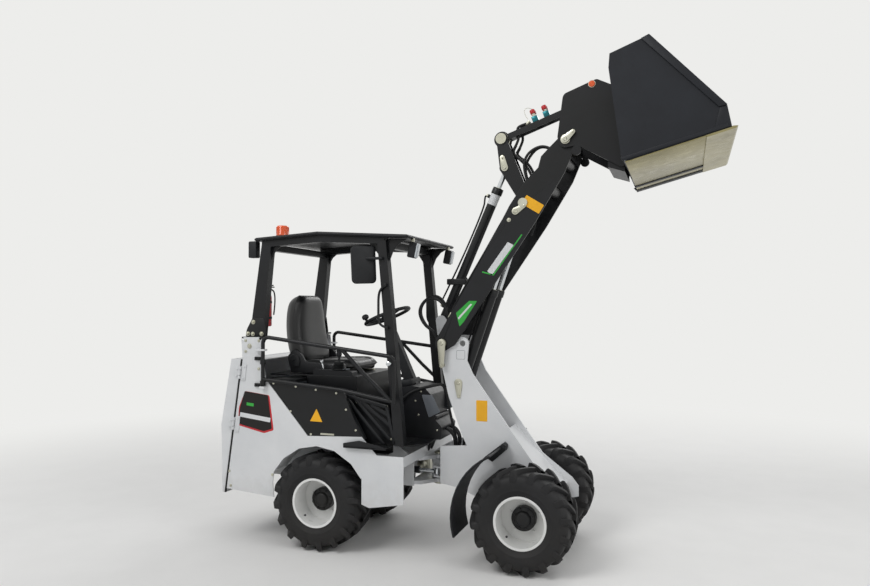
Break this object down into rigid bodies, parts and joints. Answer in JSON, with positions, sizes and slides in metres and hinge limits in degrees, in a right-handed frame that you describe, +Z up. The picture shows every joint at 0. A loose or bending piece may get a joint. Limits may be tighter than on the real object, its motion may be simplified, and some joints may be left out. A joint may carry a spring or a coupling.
{
  "type": "compact articulated wheel loader",
  "caption": "Compact articulated wheel loader with open canopy, raised boom, tilt lever and linkage, light material bucket and tractor-tread tyres.",
  "frame": {"origin": "middle of the bounding box at ground level", "axes": "+X forward, +Y to the machine's left, +Z up"},
  "size_m": [3.308, 1.1, 3.1211],
  "materials": {
    "tyre_rubber": "moulded rubber",
    "rim_paint": "cream gloss paint",
    "white_paint": "white gloss paint",
    "black_paint": "black gloss paint",
    "bare_steel": "bare steel",
    "chrome_rod": "chromed",
    "zinc_plate": "yellow zinc plated",
    "black_plastic": "moulded",
    "grey_paint": "grey paint",
    "seat_vinyl": "vinyl",
    "amber_lens": "clear amber",
    "red_paint": "red gloss paint"
  },
  "bodies": {
    "rear": {"rear_chassis": "white_paint", "rear_body": "white_paint", "battery_block": "black_paint", "rear_axle": "black_paint", "seat_pedestal": "grey_paint", "side_panels": "black_plastic", "floor_plate": "black_paint", "seat_cushion": "seat_vinyl", "seat_back": "seat_vinyl", "control_console": "black_plastic", "dash": "black_plastic", "steering_column": "black_paint", "steering_wheel": "black_plastic", "canopy_frame": "black_paint", "canopy_roof": "black_paint", "beacon": "amber_lens", "work_lamps": "black_plastic", "mirrors": "black_plastic", "fire_extinguisher": "red_paint"},
    "rear_door": {"rear_door": "white_paint"},
    "gate_right": {"gate_right": "black_paint"},
    "gate_left": {"gate_left": "black_paint"},
    "front": {"front_chassis": "white_paint", "front_axle": "black_paint", "front_fenders": "black_plastic", "boom_pin": "zinc_plate"},
    "boom": {"boom": "black_paint"},
    "bucket_pin": {"bucket_pin": "zinc_plate"},
    "bucket": {"coupler": "black_paint", "bucket": "black_paint", "cutting_edge": "bare_steel"},
    "lever_pin": {"lever_pin": "zinc_plate"},
    "lever": {"tilt_lever": "black_paint"},
    "link_pin": {"link_pin": "zinc_plate"},
    "link": {"tilt_link": "black_paint"},
    "tilt_barrel": {"tilt_barrel": "black_paint"},
    "tilt_rod": {"tilt_rod": "chrome_rod"},
    "lift_barrels": {"lift_barrels": "black_paint"},
    "lift_rods": {"lift_rods": "chrome_rod"},
    "steer_barrel": {"steer_barrel": "black_paint"},
    "steer_rod": {"steer_rod": "chrome_rod"},
    "wheel_front_left": {"tyre_front_left": "tyre_rubber", "rim_front_left": "rim_paint"},
    "wheel_front_right": {"tyre_front_right": "tyre_rubber", "rim_front_right": "rim_paint"},
    "wheel_rear_left": {"tyre_rear_left": "tyre_rubber", "rim_rear_left": "rim_paint"},
    "wheel_rear_right": {"tyre_rear_right": "tyre_rubber", "rim_rear_right": "rim_paint"}
  },
  "joints": [
    {"name": "steer", "type": "hinge", "parent": "rear", "child": "front", "pos_m": [-0.2352, 0, 0.49], "axis": [0, 0, 1], "range_deg": [-35, 35]},
    {"name": "steer_barrel_swing", "type": "hinge", "parent": "rear", "child": "steer_barrel", "pos_m": [-0.5652, -0.12, 0.49], "axis": [0, 0, 1], "range_deg": [-2.16, 2.16]},
    {"name": "steer_rod_slide", "type": "slide", "parent": "steer_barrel", "child": "steer_rod", "axis": [0.9997, 0.0226, 0], "range_m": [-0.0693, 0.0693]},
    {"name": "boom_lift", "type": "hinge", "parent": "front", "child": "boom", "pos_m": [-0.1482, 0, 1.354], "axis": [0, -1, 0], "range_deg": [-99.5, 0]},
    {"name": "lift_barrels_swing", "type": "hinge", "parent": "front", "child": "lift_barrels", "pos_m": [-0.0422, 0, 1.094], "axis": [0, -1, 0], "range_deg": [-99, 0.5]},
    {"name": "lift_rods_slide", "type": "slide", "parent": "lift_barrels", "child": "lift_rods", "axis": [0.3301, 0, 0.944], "range_m": [-0.4774, 0.005]},
    {"name": "bucket_level", "type": "hinge", "parent": "boom", "child": "bucket_pin", "pos_m": [0.67322, 0, 2.64835], "axis": [0, -1, 0], "range_deg": [-1, 100.5]},
    {"name": "bucket_tilt", "type": "hinge", "parent": "bucket_pin", "child": "bucket", "pos_m": [0.67322, 0, 2.64835], "axis": [0, -1, 0], "range_deg": [-55, 20]},
    {"name": "lever_level", "type": "hinge", "parent": "boom", "child": "lever_pin", "pos_m": [0.3968, 0, 2.265], "axis": [0, -1, 0], "range_deg": [-0.5, 48.26]},
    {"name": "lever_swing", "type": "hinge", "parent": "lever_pin", "child": "lever", "pos_m": [0.3968, 0, 2.265], "axis": [0, -1, 0], "range_deg": [-25.14, 9.46]},
    {"name": "link_level", "type": "hinge", "parent": "lever", "child": "link_pin", "pos_m": [0.2218, 0, 2.719], "axis": [0, -1, 0], "range_deg": [-40.3, 0.5]},
    {"name": "link_swing", "type": "hinge", "parent": "link_pin", "child": "link", "pos_m": [0.2218, 0, 2.719], "axis": [0, -1, 0], "range_deg": [-6.86, 17.99]},
    {"name": "tilt_barrel_swing", "type": "hinge", "parent": "front", "child": "tilt_barrel", "pos_m": [-0.2062, 0, 1.5], "axis": [0, -1, 0], "range_deg": [-97.51, 0.5]},
    {"name": "tilt_rod_slide", "type": "slide", "parent": "tilt_barrel", "child": "tilt_rod", "axis": [0.4041, 0, 0.9147], "range_m": [-0.0449, 0.1182]},
    {"name": "door_swing", "type": "hinge", "parent": "rear", "child": "rear_door", "pos_m": [-1.5557, -0.509, 0.781], "axis": [0.1413, 0, 0.99], "range_deg": [0, 110]},
    {"name": "gate_right_swing", "type": "hinge", "parent": "rear", "child": "gate_right", "pos_m": [-1.3132, -0.519, 1.218], "axis": [0, 0, 1], "range_deg": [-85, 0]},
    {"name": "gate_left_swing", "type": "hinge", "parent": "rear", "child": "gate_left", "pos_m": [-1.3132, 0.519, 1.218], "axis": [0, 0, 1], "range_deg": [0, 85]},
    {"name": "wheel_front_left_spin", "type": "hinge", "parent": "front", "child": "wheel_front_left", "pos_m": [0.4458, 0.398, 0.316], "axis": [0, 1, 0], "continuous": true},
    {"name": "wheel_front_right_spin", "type": "hinge", "parent": "front", "child": "wheel_front_right", "pos_m": [0.4458, -0.398, 0.316], "axis": [0, 1, 0], "continuous": true},
    {"name": "wheel_rear_left_spin", "type": "hinge", "parent": "rear", "child": "wheel_rear_left", "pos_m": [-0.9162, 0.398, 0.316], "axis": [0, 1, 0], "continuous": true},
    {"name": "wheel_rear_right_spin", "type": "hinge", "parent": "rear", "child": "wheel_rear_right", "pos_m": [-0.9162, -0.398, 0.316], "axis": [0, 1, 0], "continuous": true}
  ],
  "couplings": [
    {"joint": "steer_barrel_swing", "follows": "steer", "ratio": 0.047395},
    {"joint": "steer_rod_slide", "follows": "steer", "m_per_rad": 0.1085},
    {"joint": "lift_barrels_swing", "follows": "boom_lift", "ratio": 0.99},
    {"joint": "lift_rods_slide", "follows": "boom_lift", "m_per_rad": 0.272},
    {"joint": "bucket_level", "follows": "boom_lift", "ratio": -1},
    {"joint": "lever_level", "follows": "boom_lift", "ratio": -0.48},
    {"joint": "lever_swing", "follows": "bucket_tilt", "ratio": 0.448},
    {"joint": "link_level", "follows": "boom_lift", "ratio": 0.4},
    {"joint": "link_swing", "follows": "bucket_tilt", "ratio": -0.318},
    {"joint": "tilt_barrel_swing", "follows": "boom_lift", "ratio": 0.975},
    {"joint": "tilt_rod_slide", "follows": "bucket_tilt", "m_per_rad": -0.12}
  ]
}
